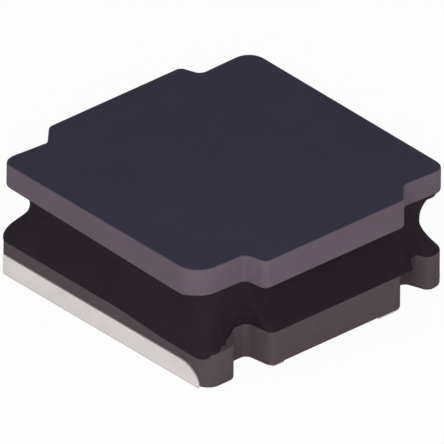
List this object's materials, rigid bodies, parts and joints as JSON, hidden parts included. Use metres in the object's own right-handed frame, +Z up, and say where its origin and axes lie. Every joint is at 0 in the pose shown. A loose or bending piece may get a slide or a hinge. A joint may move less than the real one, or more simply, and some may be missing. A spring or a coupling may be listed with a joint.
{
  "type": "resin-shielded SMD power inductor",
  "caption": "Low square surface-mount power inductor: lobed ferrite drum core, enamelled coil behind a hollowed magnetic resin skirt, plated end terminals.",
  "frame": {"origin": "centre of the outline on the seating plane, under the solder pads", "axes": "+Z up from the circuit board, along the winding axis; X runs from one terminal to the other; the front side, whose wire notches are empty, faces -Y"},
  "size_m": [0.005, 0.005, 0.002],
  "materials": {
    "ferrite": "matte",
    "enamelled_copper": "gloss",
    "magnetic_resin": "matte",
    "terminal_plating": "satin",
    "solder": "satin"
  },
  "bodies": {
    "root": {"drum_core": "ferrite", "coil_wire": "enamelled_copper", "resin_fill": "magnetic_resin", "terminal_left": "terminal_plating", "terminal_right": "terminal_plating", "solder_left": "solder", "solder_right": "solder"}
  },
  "joints": []
}
